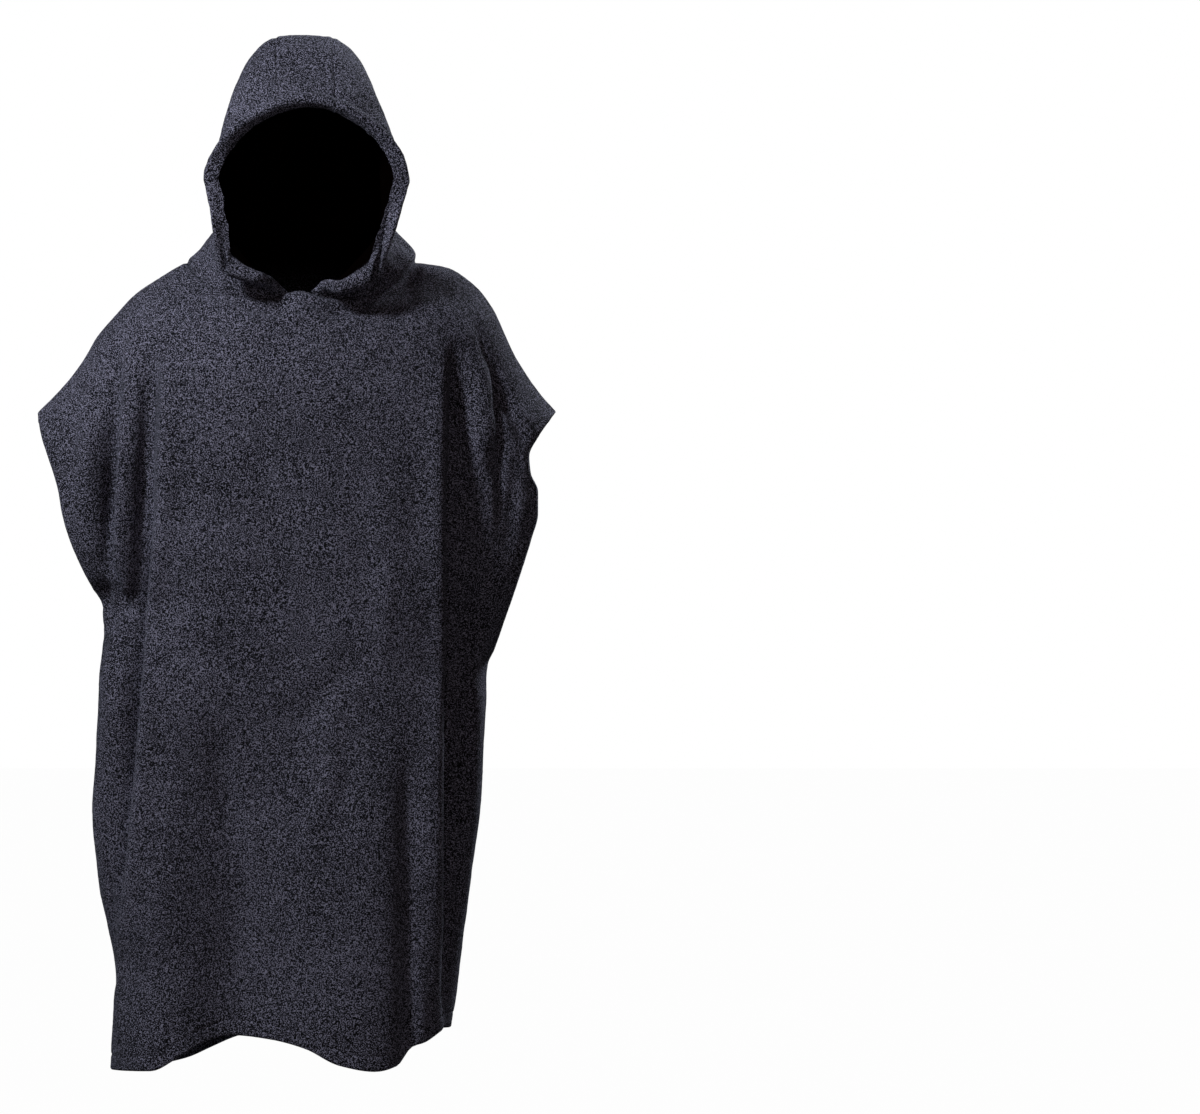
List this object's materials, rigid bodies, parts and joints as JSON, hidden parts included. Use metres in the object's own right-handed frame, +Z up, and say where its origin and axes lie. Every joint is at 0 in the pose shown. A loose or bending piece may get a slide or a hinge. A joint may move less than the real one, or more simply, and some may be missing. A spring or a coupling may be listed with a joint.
{
  "type": "hooded bath poncho",
  "caption": "Knee-length hooded towelling poncho with open half sleeves, open hem and raised hood, hollow as it hangs when worn.",
  "frame": {"origin": "between the shoulders, level with the sides of the neck seam, where a wearer or a stand holds the poncho", "axes": "+Z up along the garment from hem to hood, -Y out of the front, +X to the wearer's left"},
  "size_m": [0.7041, 0.3142, 1.4031],
  "materials": {
    "towelling": "dark charcoal blue terry pile"
  },
  "bodies": {
    "root": {"front_panel": "towelling", "back_panel": "towelling", "hood_side_left": "towelling", "hood_side_right": "towelling", "hood_centre_strip": "towelling"}
  },
  "joints": []
}
